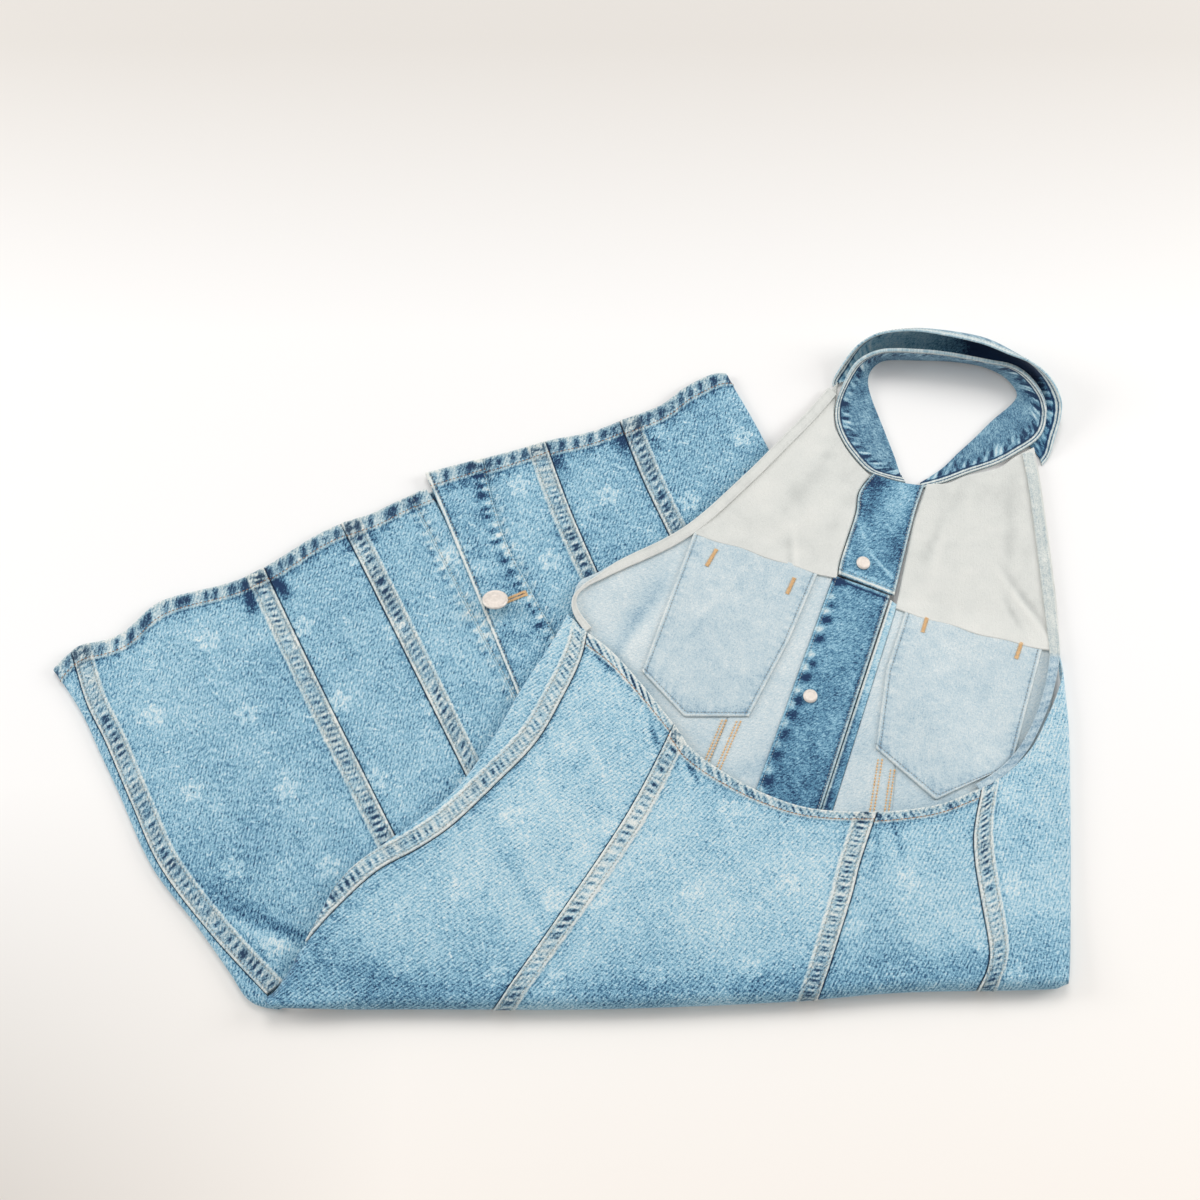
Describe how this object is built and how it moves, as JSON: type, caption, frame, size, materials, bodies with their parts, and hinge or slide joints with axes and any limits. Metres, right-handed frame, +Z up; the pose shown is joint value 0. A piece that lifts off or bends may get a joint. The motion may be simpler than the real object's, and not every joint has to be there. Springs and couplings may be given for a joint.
{
  "type": "denim halter dress",
  "caption": "Washed denim halter dress with a collar, button front and panelled skirt, folded once and laid flat with its low back up.",
  "frame": {"origin": "middle of the underside of the folded dress, on the table", "axes": "+Z up from the table; +X towards the straight right-hand edge below the halter; +Y from the fold in the skirt towards the collar"},
  "size_m": [0.789, 0.5426, 0.046],
  "materials": {
    "denim": "washed light blue denim, felled seams with worn pale ridges, tonal stitching",
    "placket_facing": "mid blue denim, less worn",
    "placket_facing_dark": "darker blue denim, almost unworn",
    "collar": "blue denim with puckers along its edges",
    "wrong_side": "pale wrong side of the denim",
    "pocket_bag": "pale wrong side of the denim, edge-stitched",
    "lining": "cream cotton, matt",
    "button_metal": "pale silvery metal, softly worn"
  },
  "bodies": {
    "root": {"skirt_back_left": "denim", "skirt_front_side_left": "denim", "skirt_front_middle_left": "denim", "skirt_front_centre_left": "denim", "skirt_button_band": "denim", "skirt_placket": "denim", "skirt_front_centre_right": "denim", "skirt_front_middle_right": "denim", "skirt_front_side_right": "denim", "back_side_left": "denim", "back_centre": "denim", "back_side_right": "denim", "front_side_left": "denim", "front_side_right": "denim", "hidden_layers": "denim", "placket_facing_upper": "placket_facing", "placket_facing_lower": "placket_facing_dark", "collar_stand": "collar", "collar_leaf": "collar", "inner_side_front_left": "wrong_side", "inner_centre_front_left": "wrong_side", "button_band_inner": "wrong_side", "inner_centre_front_right": "wrong_side", "inner_side_front_right": "wrong_side", "pocket_bag_left": "pocket_bag", "pocket_bag_right": "pocket_bag", "yoke_lining_left": "lining", "yoke_lining_right": "lining", "armhole_facing_left": "lining", "armhole_facing_right": "lining", "shank_button": "button_metal", "cap_upper": "button_metal", "cap_lower": "button_metal"}
  },
  "joints": []
}
